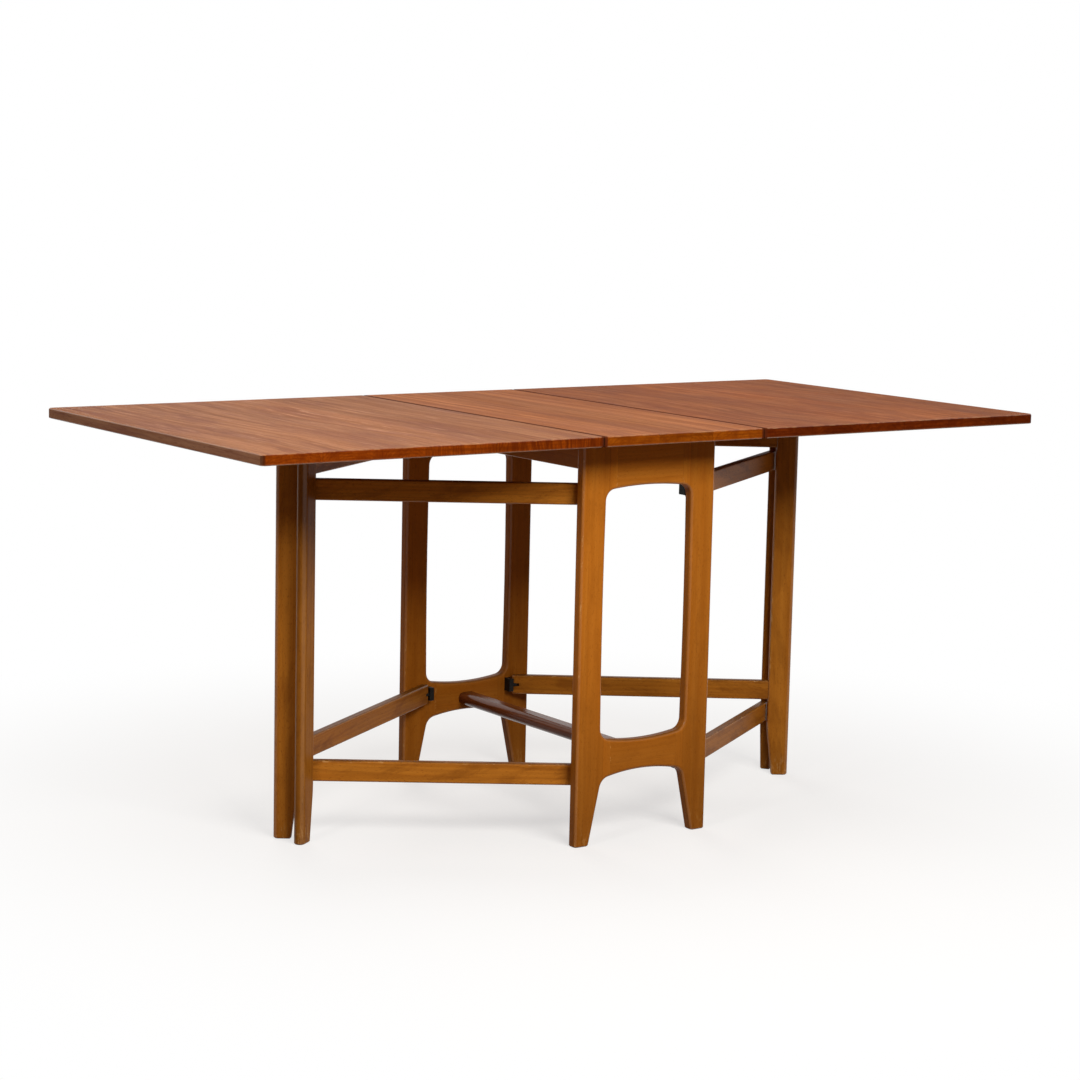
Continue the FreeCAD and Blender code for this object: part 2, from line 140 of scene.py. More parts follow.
# %% Finish
class Finish:
    """One node material, built a node at a time."""

    def __init__(self, name, owner=None):
        self.owner = owner or bpy.data.materials.new(name)
        self.owner.use_nodes = True
        self.tree = self.owner.node_tree
        self.tree.nodes.clear()

    def node(self, kind, settings=None, sockets=None, output=0):
        """Makes a node and gives back one of its outputs, if it has any."""
        made = self.tree.nodes.new(kind)
        for name, value in (settings or {}).items():
            setattr(made, name, value)
        for name, value in (sockets or {}).items():
            if isinstance(value, Field):
                self.tree.links.new(value.socket, made.inputs[name])
            else:
                made.inputs[name].default_value = value
        return Field(self, made.outputs[output]) if made.outputs else None

    def mix(self, amount, first, second, blend="MIX"):
        """Two colours mixed by an amount."""
        settings = {"data_type": "RGBA", "blend_type": blend}
        return self.node("ShaderNodeMix", settings, {0: amount, 6: first, 7: second}, output=2)

    def surface(self, sockets):
        """The usual ending: one Principled surface."""
        shader = self.node("ShaderNodeBsdfPrincipled", {}, sockets)
        self.node("ShaderNodeOutputMaterial", {}, {"Surface": shader})
        return self.owner


def colour(red, green, blue):
    """A colour as a socket takes it, with an alpha of 1."""
    return (red, green, blue, 1.0)


white = colour(1.0, 1.0, 1.0)
print("white is", white)

# %% [markdown]
# The studio is a white sweep.
# The world is pure white to the eye and in reflections, but gives the table only a low fill,
# so that the timber keeps the deep shade that it has under a real top. The fill is warm, because
# in a real room it has bounced off timber before. Light Path tells the two apart.

# %% White surround
world_fill = 0.120
fill_tone = colour(1.0, 0.60, 0.30)

world = bpy.data.worlds.new("studio")
bpy.context.scene.world = world
surround = Finish("studio", world)


def seen_directly(finish):
    """1 where a ray comes from the eye, a mirror or glass, and 0 for light that bounces."""
    ray_names = ("Is Camera Ray", "Is Glossy Ray", "Is Transmission Ray")
    eye, mirror, glass = [finish.node("ShaderNodeLightPath", output=name) for name in ray_names]
    return eye.most(mirror).most(glass)


sky_seen = seen_directly(surround)
sky_tone = surround.mix(sky_seen, fill_tone, white)
sky_strength = sky_seen * (1.0 - world_fill) + world_fill
sky = surround.node("ShaderNodeBackground", {}, {"Color": sky_tone, "Strength": sky_strength})
surround.node("ShaderNodeOutputWorld", {}, {"Surface": sky})
bpy.context.scene.view_settings.view_transform = "Standard"
print("world fill", world_fill)

# %% [markdown]
# The floor is a wide disc of pale paper.
# Close to the table it shows the soft shadows, and further out it fades into the white.
# Its own bounce is kept low, or the underside of the top would glow.

# %% Floor
floor_radius = 30.0
floor_sides = 96
fade_start = 0.05
fade_end = 1.6
floor_lift = 0.60
floor_bounce = colour(0.22, 0.19, 0.16)
floor_paper = colour(0.93, 0.90, 0.86)

floor_mesh = bpy.data.meshes.new("floor")
disc = bmesh.new()
bmesh.ops.create_circle(disc, cap_ends=True, segments=floor_sides, radius=floor_radius)
disc.to_mesh(floor_mesh)
disc.free()
floor = bpy.data.objects.new("floor", floor_mesh)
bpy.context.scene.collection.objects.link(floor)

paper = Finish("pale_paper")
floor_place = paper.node("ShaderNodeTexCoord", output="Object")
length_only = {"operation": "LENGTH"}
floor_reach = paper.node("ShaderNodeVectorMath", length_only, {0: floor_place}, output="Value")
seen = seen_directly(paper)
paper_tone = paper.mix(seen, floor_bounce, floor_paper)
paper_shade = paper.node("ShaderNodeBsdfDiffuse", {}, {"Color": paper_tone})
paper_glow = paper.node("ShaderNodeEmission", {}, {"Color": white, "Strength": 1.0})
glow_share = seen * (floor_lift + (1.0 - floor_lift) * floor_reach.rise(fade_start, fade_end))
paper_mix = paper.node("ShaderNodeMixShader", {}, {0: glow_share, 1: paper_shade, 2: paper_glow})
paper.node("ShaderNodeOutputMaterial", {}, {"Surface": paper_mix})
floor_mesh.materials.append(paper.owner)
print("floor with a radius of", floor_radius, "m")

# %% [markdown]
# Four soft boxes light the table, as in a small furniture studio.
# One hangs overhead and lights the top. A strong one stands in front, high up, so that the top's
# own shade falls further down the legs that stand further in. One behind lifts the back of the table.
# Those two give light without glare. A small one at the left makes glints on rounded edges.

# %% Soft boxes
def soft_box(name, place, target, size, power, shines=True):
    """An area lamp aimed at a point and not seen itself. One that doesn't shine has no glare."""
    lamp = bpy.data.lights.new(name, "AREA")
    lamp.shape = "RECTANGLE"
    lamp.size, lamp.size_y = size
    lamp.energy = power
    box = bpy.data.objects.new(name, lamp)
    box.location = place
    box.rotation_euler = (Vector(target) - Vector(place)).to_track_quat("-Z", "Y").to_euler()
    box.visible_camera = False
    box.visible_glossy = shines
    bpy.context.scene.collection.objects.link(box)


soft_box("overhead", (-0.7, 0.4, 2.6), (-0.2, 0.0, 0.7), (3.0, 1.6), 15.5)
soft_box("front", (-0.35, -2.6, 2.15), (-0.05, -0.2, 0.45), (1.6, 1.0), 78.0, shines=False)
soft_box("left", (-2.7, -1.2, 1.9), (0.0, 0.0, 0.40), (0.45, 0.40), 16.0)
soft_box("rear", (0.9, 3.2, 1.7), (0.0, 0.2, 0.40), (1.6, 1.2), 40.0, shines=False)

# %% [markdown]
# Timber is a solid, so its figure is worked out in space and not painted on faces.
# Every piece gets its own grain space: one axis along the fibres, one across, one through.
# It could be kept in texture coordinates on each face, but then no line would meet at a corner.

# %% Grain space
origin = (0.0, 0.0, 0.0)


def grain_space(finish, order, place=origin, turn=0.0, source="Object"):
    """The place in the wood as three Fields: along the fibres, across them, and through.

    With "Normal" as its source it gives the way the surface looks instead.
    """
    seat = finish.node("ShaderNodeTexCoord", output=source)
    settled = finish.node(
        "ShaderNodeMapping",
        {"vector_type": "TEXTURE"},
        {"Vector": seat, "Location": place, "Rotation": (0.0, 0.0, turn)},
    )
    split = finish.node("ShaderNodeSeparateXYZ", {}, {"Vector": settled})
    axes = dict(zip("xyz", split.socket.node.outputs))
    return [Field(finish, axes[letter]) for letter in order]


def joined(finish, along, across, through):
    """Three Fields as one place in the wood."""
    return finish.node("ShaderNodeCombineXYZ", {}, {"X": along, "Y": across, "Z": through})


print("grain space starts at", origin)

# %% [markdown]
# Streaks, pores and clouds in wood are noise that is stretched along the fibres.
# A Figure keeps the numbers of one such noise: how many waves it has per metre along, across and
# through the grain, a seed of its own, and the limits between which it grows into a mark.

# %% Noise in the wood
seed_steps = (3.17, 5.31, 7.73)


class Figure(NamedTuple):
    """The numbers of one noise in the wood."""

    waves: tuple
    own_seed: float
    detail: float = 3.0
    rough: float = 0.55
    low: float = 0.0
    high: float = 1.0


def noise(finish, grain, figure, seed):
    """Soft noise from 0 to 1."""
    shift = tuple((seed + figure.own_seed) * step for step in seed_steps)
    stretched = {0: grain, 1: figure.waves, 2: shift}
    place = finish.node("ShaderNodeVectorMath", {"operation": "MULTIPLY_ADD"}, stretched)
    sockets = {"Vector": place, "Scale": 1.0, "Detail": figure.detail, "Roughness": figure.rough}
    return finish.node("ShaderNodeTexNoise", {}, sockets)


def marks(finish, grain, figure, seed):
    """Noise as marks: 0 below the figure's low limit and 1 above its high one."""
    return noise(finish, grain, figure, seed).rise(figure.low, figure.high)


def chance_of(finish, number):
    """One random value per whole number, the same at every render."""
    return finish.node("ShaderNodeTexWhiteNoise", {"noise_dimensions": "1D"}, {"W": number})


def toned(finish, wood, tone):
    """A colour made lighter or darker by a Field near 1."""
    shade = finish.node("ShaderNodeCombineColor", {}, {0: tone, 1: tone, 2: tone})
    return finish.mix(1.0, wood, shade, "MULTIPLY")


print("noise steps per seed", seed_steps)

# %% [markdown]
# A tree lays down one ring a year, pale in spring and dark in late summer.
# The distance from an imagined pith, cut into years, makes rings that meet at every corner of a sawn
# board. A slow wander and a quick ripple keep them from being circles, and each year has its own
# strength, as wet and dry summers have.

# %% Growth rings
ring_wander = Figure((1.1, 6.0, 6.0), own_seed=0.0, detail=2.0)
ring_ripple = Figure((5.0, 45.0, 45.0), own_seed=1.0)
wander_years = 9.0
ripple_years = 1.7
summer_starts, summer_full = 0.15, 0.88
winter_starts, winter_full = 0.90, 1.0
weakest_year = 0.15


def growth_rings(finish, grain, across, through, spacing, seed):
    """Dark late wood of each year, 0 to 1, round a pith at across = through = 0."""
    wander = noise(finish, grain, ring_wander, seed) - 0.5
    ripple = noise(finish, grain, ring_ripple, seed) - 0.5
    reach = (across * across + through * through) ** 0.5
    years = reach / spacing + wander * wander_years + ripple * ripple_years
    season = years.fraction()
    late = season.rise(summer_starts, summer_full) - season.rise(winter_starts, winter_full)
    vigour = chance_of(finish, years.floor())
    return late * (weakest_year + (1 - weakest_year) * vigour)


print("late wood fills", round(winter_starts - summer_starts, 2), "of a year")

# %% [markdown]
# Old lacquer wears first where hands and chairs rub: along the long arrises.
# Near such an arris a point is close to two faces at once, so the larger one of its two distances to them
# is small. On the rounding itself the surface looks half way between two faces, and there the bars are
# made paler, a painted highlight. A few Math nodes find both, with no mask painted on.

# %% Worn edges and painted highlights
def box_in_grain(node, order, place=origin, turn=0.0):
    """Middle and half size of a piece along its own grain axes."""
    settle = Matrix.Rotation(-turn, 3, "Z")
    points = [settle @ (vertex.co - Vector(place)) for vertex in nodes[node].data.vertices]
    middle = []
    half = []
    for letter in order:
        values = [point["xyz".index(letter)] for point in points]
        middle.append((min(values) + max(values)) / 2)
        half.append((max(values) - min(values)) / 2)
    return middle, half


def arris_distance(axes, middle, half):
    """Metres from the nearest arris that runs along the grain."""
    across, through = [half[n] - abs(axes[n] - middle[n]) for n in (1, 2)]
    return across.most(through)


def half_turned(facing):
    """1 where a surface is half way round from facing an axis, 0 where it faces along or across it."""
    square = facing * facing
    return 4.0 * square * (1.0 - square)


leg_half = box_in_grain("front_left_frame_leg", "zxy")[1]
print("a frame leg in its grain space", [round(2 * half, 3) for half in leg_half])

# %% [markdown]
# The top is made of staves about a hand wide, glued edge to edge, with the grain across the table.
# A picture of veneer could be laid on it, but then the ends of the boards would look wrong.
# Here each stave is cut from its own place in a log, so it gets its own chance numbers,
# and the direction in which the surface looks tells the ends and sides from the face.

# %% Staves
stave_width = 0.110
faces_from, faces_fully = 0.5, 0.9
chance_step, other_step = 17.0, 29.0


def sawn_board(node, seed, look):
    """A panel's finish, with its place in the wood, its faces and its staves."""
    finish = Finish("teak_" + node)
    board = SimpleNamespace(finish=finish, seed=seed, look=look)
    board.low, board.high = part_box(node)
    board.along, board.across, board.through = grain_space(finish, "yxz")
    face_along, board.face_across, board.face_up = grain_space(finish, "yxz", source="Normal")
    board.end_face = abs(face_along).rise(faces_from, faces_fully)
    board.side_face = abs(board.face_across).rise(faces_from, faces_fully)
    length = board.high.x - board.low.x
    width = length / round(length / stave_width)
    steps = (board.across - board.low.x) / width
    stave = steps.floor()
    off_middle = steps - stave - 0.5
    board.chance = chance_of(finish, stave + seed * chance_step)
    board.other = chance_of(finish, stave + seed * other_step)
    board.off_middle = off_middle * width
    board.to_joint = (0.5 - abs(off_middle)) * width
    return board


print("staves about", stave_width, "m wide")

# %% [markdown]
# Teak is brown with dark late wood, redder bands, pale glints where the fibres catch the light,
# and open pores like fine scratches. One noise for each is mixed over the ground colour in turn.
# Where the pith lies far to one side the rings stand upright, and elsewhere they lie flat.

# %% Teak figure
teak_light = colour(0.440, 0.150, 0.032)
teak_mid = colour(0.340, 0.102, 0.018)
teak_dark = colour(0.150, 0.036, 0.008)
teak_red = colour(0.210, 0.052, 0.014)
teak_glint = colour(0.560, 0.215, 0.056)
teak_pore = colour(0.060, 0.014, 0.004)

grain_bend = Figure((2.2, 5.0, 5.0), own_seed=11.0, detail=2.0)
teak_fibres = Figure((7.0, 420.0, 420.0), own_seed=2.0, detail=5.0, rough=0.65, low=0.48, high=0.72)
teak_streaks = Figure((2.6, 70.0, 70.0), own_seed=3.0, low=0.35, high=0.65)
teak_clouds = Figure((3.0, 6.0, 6.0), own_seed=4.0)
teak_pores = Figure((55.0, 1500.0, 1500.0), own_seed=5.0, detail=1.0, low=0.60, high=0.72)
teak_bands = Figure((1.0, 24.0, 24.0), own_seed=8.0, detail=4.0, rough=0.6, low=0.44, high=0.64)
teak_glints = Figure((8.0, 85.0, 85.0), own_seed=9.0, detail=5.0, rough=0.6, low=0.57, high=0.70)

stave_shift = 3.0
upright_change = 0.001
pith_spread = 0.03
pith_far = 0.12
pith_further = 0.08
pith_depth = 0.05
ring_on_ends = 0.20
fibre_strength = 0.6
pore_strength = 0.5


def teak_figure(board):
    """The colour of the wood itself, from its rings to its pores."""
    finish, seed, look = board.finish, board.seed, board.look
    upright_from, upright_to = look["upright"]
    upright_starts = board.across.rise(upright_from, upright_from + upright_change)
    upright_ends = board.across.rise(upright_to, upright_to + upright_change)
    board.upright = upright_starts - upright_ends
    straight = joined(finish, board.along, board.across, board.through)
    bend = look["bend"] * (noise(finish, straight, grain_bend, seed) - 0.5)
    grain = joined(finish, board.along + board.chance * stave_shift, board.across + bend, board.through)
    pith_shift = board.upright * (pith_far + pith_further * board.other)
    pith_aside = (board.chance - 0.5) * pith_spread + pith_shift
    pith_below = pith_depth + pith_depth * board.other - board.upright * pith_depth
    from_pith = board.off_middle - pith_aside
    above_pith = board.through - board.high.z + pith_below
    rings = growth_rings(finish, grain, from_pith, above_pith, look["spacing"], seed)
    ring_strength = look["ring"] + ring_on_ends * board.upright * board.end_face
    # each panel's bands waver along the grain at their own pace
    wavering = teak_bands._replace(waves=(look["waver"], *teak_bands.waves[1:]))
    glints = marks(finish, grain, teak_glints, seed)
    board.grain = grain
    board.fibres = noise(finish, grain, teak_fibres, seed)
    board.pores = marks(finish, grain, teak_pores, seed)
    flat_grain = 1 - board.end_face
    wood = finish.mix(marks(finish, grain, teak_streaks, seed), teak_light, teak_mid)
    wood = finish.mix(rings * ring_strength, wood, teak_dark)
    wood = finish.mix(marks(finish, grain, wavering, seed) * look["band"], wood, teak_red)
    wood = finish.mix(glints * look["glint"] * flat_grain, wood, teak_glint)
    dark_fibres = board.fibres.rise(teak_fibres.low, teak_fibres.high)
    wood = finish.mix(dark_fibres * fibre_strength, wood, teak_dark)
    return finish.mix(board.pores * pore_strength * flat_grain, wood, teak_pore)


print("teak pores", round(1000 / teak_pores.waves[0]), "mm long")

# %% [markdown]
# The front and back edges of the top show the cut ends of the boards.
# Upright rings end there in dark stripes, and flat ones in long streaks. End grain drinks more oil, so it
# is darker and redder. Each panel has its own tint, which also holds a painted sheen, greyest on the left
# leaf and on the side faces.
# Glue lines between the staves are about a millimetre wide.

# %% Board ends and tints
glue_half = 0.0004
glue_strength = 0.5
end_streaks = Figure((0.0, 10.0, 330.0), own_seed=7.0, detail=4.0, rough=0.6, low=0.42, high=0.66)
end_bars = Figure((0.0, 190.0, 16.0), own_seed=10.0, low=0.44, high=0.58)
end_streak_strength = 0.45
end_bar_strength = 0.95
sparse_bars = 0.35
darkest_stave = 0.90
stave_range = 0.20
# The side faces are greyed: their own tone and a painted sheen.
side_tint_and_sheen = colour(1.50, 2.30, 5.90)


def end_grain(board, wood):
    """Streaks and upright bars on the cut ends of the boards."""
    finish, seed = board.finish, board.seed
    streaks = marks(finish, board.grain, end_streaks, seed)
    wood = finish.mix(streaks * board.end_face * end_streak_strength, wood, teak_dark)
    bars = marks(finish, board.grain, end_bars, seed)
    denser = sparse_bars + (1 - sparse_bars) * board.across.rise(*board.look["upright"])
    bars = bars * board.upright * board.end_face * denser
    return finish.mix(bars * end_bar_strength, wood, teak_dark)


def glued_and_tinted(board, wood):
    """Glue lines, the tone of each stave, and the tint of each face, which holds a painted sheen too."""
    finish, look = board.finish, board.look
    glue = board.to_joint.rise(2 * glue_half, glue_half)
    wood = finish.mix(glue * glue_strength, wood, teak_dark)
    board.clouds = noise(finish, board.grain, teak_clouds, board.seed)
    cloudy = look["cloud"] * (board.clouds - 0.5)
    wood = toned(finish, wood, darkest_stave + stave_range * board.chance + cloudy)
    # The face tints hold a painted sheen too, greyest on the left leaf.
    tint = finish.mix(board.end_face, colour(*look["face"]), colour(*look["end"]))
    tint = finish.mix(board.side_face, tint, side_tint_and_sheen)
    return finish.mix(1.0, wood, tint, "MULTIPLY")


print("glue lines", 2000 * glue_half, "mm wide where they are darkest")

# %% [markdown]
# Rims are rubbed pale. The rounded corners cut the fibres at a slant, so they drink oil and are dark.
# A dark line on each side of the two seams is painted shade, for the gaps between the panels.
# The rounded rims keep a little gloss, which is a thin coat over the wood.
# All this could be painted by hand, but the shape already says where it belongs.

# %% Rims, corners and seams
teak_worn = colour(0.46, 0.22, 0.08)
seam_shade_colour = colour(0.085, 0.015, 0.004)
teak_rubs = Figure((30.0, 60.0, 90.0), own_seed=6.0, detail=4.0, low=0.46, high=0.62)
rim_from, rim_fully = 0.15, 0.7
rim_wear = 0.45
lower_rim_far, lower_rim_near = 0.0035, 0.0010
lower_rim_wear = 0.2
wall_from, wall_fully = 0.6, 0.9
corner_from, corner_fully = 0.08, 0.75
corner_dirt = 0.85
rim_gloss = 0.8
# A painted shade lies beside each seam, this wide.
seam_shade_width = 0.0058
seam_shade_core = 0.7
seam_shade_strength = 0.90


def handled_rims(board, wood):
    """Pale rubbed rims and dark corners."""
    finish = board.finish
    rim = half_turned(board.face_up).rise(rim_from, rim_fully)
    lower_rim = (board.through - board.low.z).rise(lower_rim_far, lower_rim_near) * board.end_face
    board.worn = rim * marks(finish, board.grain, teak_rubs, board.seed)
    board.gloss = rim * rim_gloss
    wood = finish.mix(board.worn * rim_wear + lower_rim * lower_rim_wear, wood, teak_worn)
    wall = (1 - abs(board.face_up)).rise(wall_from, wall_fully)
    corner = (half_turned(board.face_across) * wall).rise(corner_from, corner_fully)
    return finish.mix(corner * corner_dirt, wood, teak_pore)


def shaded_seams(board, wood):
    """Painted shade along the seams, dark and without gloss."""
    for side in board.look["seams"]:
        edge = board.high.x if side == "right" else board.low.x
        # painted shade along the seam
        seam_shade = abs(board.across - edge).rise(seam_shade_width, seam_shade_width * seam_shade_core)
        wood = board.finish.mix(seam_shade * seam_shade_strength, wood, seam_shade_colour)
        board.gloss = board.gloss * (1 - seam_shade)
    return wood


# width of the painted shade beside each seam
print("old polish", 1000 * seam_shade_width, "mm beside each seam")

# %% [markdown]
# The three panels are dressed from one recipe with their own numbers.
# The centre panel is straight in the grain. The left leaf is wavy and full of glints, with
# upright staves next to the seam, and the right leaf is redder and cloudier.
# Fibres and pores also lift and sink the surface a little, through a Bump node.

# %% Teak top
old_gloss = 0.12
teak_rough = 0.55
rough_fibres, rough_clouds, rough_wear = 0.16, 0.14, 0.12
fibre_lift, pore_sink = 0.5, 0.6
teak_bump = {"Strength": 0.25, "Distance": 0.0004}


def teak_panel(node, seed, look):
    """Teak for one panel of the top, with the panel's own figure and tints."""
    board = sawn_board(node, seed, look)
    wood = teak_figure(board)
    wood = end_grain(board, wood)
    wood = glued_and_tinted(board, wood)
    wood = handled_rims(board, wood)
    wood = shaded_seams(board, wood)
    height = board.fibres * fibre_lift - board.pores * pore_sink
    roughness = teak_rough + rough_fibres * (board.fibres - 0.5) + rough_clouds * (board.clouds - 0.5)
    return board.finish.surface({
        "Base Color": wood,
        "Roughness": roughness + rough_wear * board.worn,
        "Specular IOR Level": look["shine"],
        "Coat Weight": board.gloss,
        "Coat Roughness": old_gloss,
        "Normal": board.finish.node("ShaderNodeBump", {}, {**teak_bump, "Height": height}),
    })


def dress(node, material):
    """Puts a finish on a piece."""
    nodes[node].data.materials.clear()
    nodes[node].data.materials.append(material)


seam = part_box("centre_panel")[1].x
nowhere = (9.0, 9.1)
# Each face tint is partly the panel's own tone and partly a painted sheen.
panel_looks = {
    "centre_panel": {
        "face": (1.12, 1.21, 1.92), "end": (0.72, 0.49, 0.10), "shine": 0.022,
        "upright": nowhere, "seams": ("left", "right"), "spacing": 0.0055, "waver": 1.0, "bend": 0.03,
        "ring": 0.40, "band": 0.40, "glint": 0.10, "cloud": 0.14,
    },
    "left_leaf": {
        "face": (1.07, 1.32, 2.64), "end": (0.66, 0.35, 0.08), "shine": 0.030,
        "upright": (-0.52, -seam), "seams": ("right",), "spacing": 0.0055, "waver": 3.6, "bend": 0.07,
        "ring": 0.42, "band": 0.56, "glint": 0.62, "cloud": 0.24,
    },
    "right_leaf": {
        "face": (1.05, 1.05, 1.70), "end": (0.36, 0.16, 0.07), "shine": 0.016,
        "upright": nowhere, "seams": ("left",), "spacing": 0.0085, "waver": 6.0, "bend": 0.12,
        "ring": 0.42, "band": 0.42, "glint": 0.50, "cloud": 0.70,
    },
}
for number, (panel, look) in enumerate(panel_looks.items()):
    dress(panel, teak_panel(panel, number + 1.0, look))
print("teak on", len(panel_looks), "panels, seam at", round(seam, 3))

# %% [markdown]
# The frames, the gates and the bars are solid hardwood under the same old lacquer.
# One recipe serves them all, with the colours and the strength of the figure as its settings.
# Grain follows each bar: up the legs, along the rails, and along each gate at its own angle.

# %% Hardwood figure
bar_fibres = Figure((9.0, 520.0, 520.0), own_seed=2.0, detail=5.0, rough=0.65, low=0.50, high=0.85)
bar_streaks = Figure((2.2, 75.0, 75.0), own_seed=3.0, detail=4.0, low=0.28, high=0.72)
bar_clouds = Figure((5.0, 16.0, 16.0), own_seed=4.0)
bar_flecks = Figure((170.0, 520.0, 520.0), own_seed=5.0, detail=1.0, low=0.60, high=0.72)
bar_patches = Figure((14.0, 30.0, 30.0), own_seed=7.0, detail=5.0, rough=0.65, low=0.47, high=0.66)
pith_turn = 2.4


def sawn_bar(node, look, seed, order, place, turn):
    """A bar's finish, with its place in the wood and the way its faces look."""
    finish = Finish(look["name"] + "_" + node)
    bar = SimpleNamespace(finish=finish, look=look, seed=seed)
    bar.axes = grain_space(finish, order, place, turn)
    bar.middle, bar.half = box_in_grain(node, order, place, turn)
    bar.along, bar.across, bar.through = bar.axes
    bar.grain = joined(finish, *bar.axes)
    facing = grain_space(finish, order, turn=turn, source="Normal")
    bar.face_through = facing[2]
    bar.face_up = facing[order.index("z")]
    bar.height = bar.axes[order.index("z")] + place[2]
    bar.upright = order[0] == "z"
    return bar


def hardwood_figure(bar):
    """The colour of the wood itself: streaks, rings, patches, fibres and flecks."""
    finish, look, seed = bar.finish, bar.look, bar.seed
    pith_across = bar.middle[1] + look["pith"] * math.cos(seed * pith_turn)
    pith_through = bar.middle[2] + look["pith"] * math.sin(seed * pith_turn)
    from_pith = bar.across - pith_across
    above_pith = bar.through - pith_through
    rings = growth_rings(finish, bar.grain, from_pith, above_pith, look["spacing"], seed)
    slanted = joined(finish, bar.along + look["slant"] * bar.across, bar.across, bar.through)
    bar.fibres = noise(finish, bar.grain, bar_fibres, seed)
    bar.clouds = noise(finish, bar.grain, bar_clouds, seed)
    bar.flecks = marks(finish, bar.grain, bar_flecks, seed)
    wood = finish.mix(marks(finish, bar.grain, bar_streaks, seed), look["light"], look["mid"])
    wood = finish.mix(rings * look["figure"], wood, look["dark"])
    wood = finish.mix(marks(finish, slanted, bar_patches, seed) * look["patch"], wood, look["dark"])
    dark_fibres = bar.fibres.rise(bar_fibres.low, bar_fibres.high)
    wood = finish.mix(dark_fibres * look["fibre"], wood, look["dark"])
    return finish.mix(bar.flecks * look["fleck"], wood, look["dark"])


print("flecks", round(1000 / bar_flecks.waves[0]), "mm long")

# %% [markdown]
# The frame legs are built up: a strip is glued to the inner edge where the curves are cut,
# so the front shows a paler band between two fine lines at every rail.
# Boards differ in tone, and the tones also hold painted light and shade. Ledges that face up get a
# painted shade, and the lower parts are darker towards the floor, also a painted shade.

# %% Boards, glue and painted shade
strip_lift = 0.13
strip_blur = 0.0002
bar_glue_strength = 0.45
# Ledges that face up are darkened: a painted shade, as the top keeps light off them.
ledge_shade_from, ledge_shade_fully = 0.30, 0.90


def boards_and_painted_shade(bar, wood, tone, glue_places):
    """The tone of a board, its glued strip, and the painted shade on ledges and near the floor."""
    finish, look = bar.finish, bar.look
    tone = tone + look["cloud"] * (bar.clouds - 0.5)
    if glue_places:
        strip_half = (max(glue_places) - min(glue_places)) / 2
        strip_middle = (min(glue_places) + max(glue_places)) / 2
        inside_strip = strip_half - abs(bar.across - strip_middle)
        tone = tone + strip_lift * inside_strip.rise(0.0, strip_blur)
    # painted shade on ledges that face up
    ledge_shade = bar.face_up.rise(ledge_shade_from, ledge_shade_fully)
    # darker towards the floor: a painted shade where the light falls off
    shade_near_floor = look["low_shade"] * bar.height.rise(look["low_shade_top"], 0.0)
    wood = toned(finish, wood, tone * (1 - shade_near_floor) * (1 - look["ledge_shade"] * ledge_shade))
    for glue_place in glue_places:
        line = abs(bar.across - glue_place).rise(3 * glue_half, glue_half)
        wood = finish.mix(line * bar_glue_strength, wood, look["dark"])
    return wood


print("strip between glue lines lighter by", strip_lift)

# %% [markdown]
# Feet are kicked and mopped, so they are scuffed. Long arrises get pale specks, partly where they are
# rubbed through and partly a painted highlight. Roundings are painted paler as a highlight, and they also
# shine, again as a thin coat.

# %% Solid hardwood
bar_rubs = Figure((55.0, 160.0, 160.0), own_seed=6.0, detail=4.0, rough=0.7, low=0.57, high=0.66)
scuff_from, scuff_fully = 0.50, 0.64
arris_far, arris_near = 0.0045, 0.0015
foot_reach = 0.055
rounding_from, rounding_fully = 0.25, 0.85
rounding_gloss = 0.4
rough_bar_clouds, rough_bar_wear = 0.12, 0.15
fleck_sink = 0.4
bar_bump = {"Strength": 0.2, "Distance": 0.0004}


def hardwood(node, look, seed, order, place=origin, turn=0.0, glue_places=(), tone=1.0):
    """Lacquered solid wood for one piece, with the tone of its own board, which also holds painted light
    and shade.
    """
    bar = sawn_bar(node, look, seed, order, place, turn)
    finish = bar.finish
    wood = hardwood_figure(bar)
    wood = boards_and_painted_shade(bar, wood, tone, glue_places)
    rubs = noise(finish, bar.grain, bar_rubs, seed)
    near_arris = arris_distance(bar.axes, bar.middle, bar.half).rise(arris_far, arris_near)
    # Pale specks on the arrises: partly wear, partly a painted highlight.
    worn = near_arris * rubs.rise(bar_rubs.low, bar_rubs.high)
    if bar.upright:
        scuffs = bar.along.rise(foot_reach - place[2], -place[2]) * rubs.rise(scuff_from, scuff_fully)
        worn = worn.most(scuffs * look["scuff"])
    rounded = half_turned(bar.face_through).rise(rounding_from, rounding_fully)
    # Paler roundings: a painted highlight.
    worn = worn.most(rounded * look["rounding_highlight"])
    height = bar.fibres * fibre_lift - bar.flecks * fleck_sink
    roughness = look["rough"] + rough_fibres * (bar.fibres - 0.5) + rough_bar_clouds * (bar.clouds - 0.5)
    return finish.surface({
        "Base Color": finish.mix(worn * look["wear_and_highlight_strength"], wood, look["worn"]),
        "Roughness": roughness + rough_bar_wear * worn,
        "Specular IOR Level": look["shine"],
        "Coat Weight": rounded * rounding_gloss,
        "Coat Roughness": old_gloss,
        "Normal": finish.node("ShaderNodeBump", {}, {**bar_bump, "Height": height}),
    })


print("feet scuffed up to", foot_reach, "m")

# %% [markdown]
# The end frames are a golden wood, the gates a browner one with more figure, and the stretcher is
# stained dark and glossy. The dowels inside the joints are raw and pale.
# A look is a plain table of numbers, so a new wood is a new table and no new code.

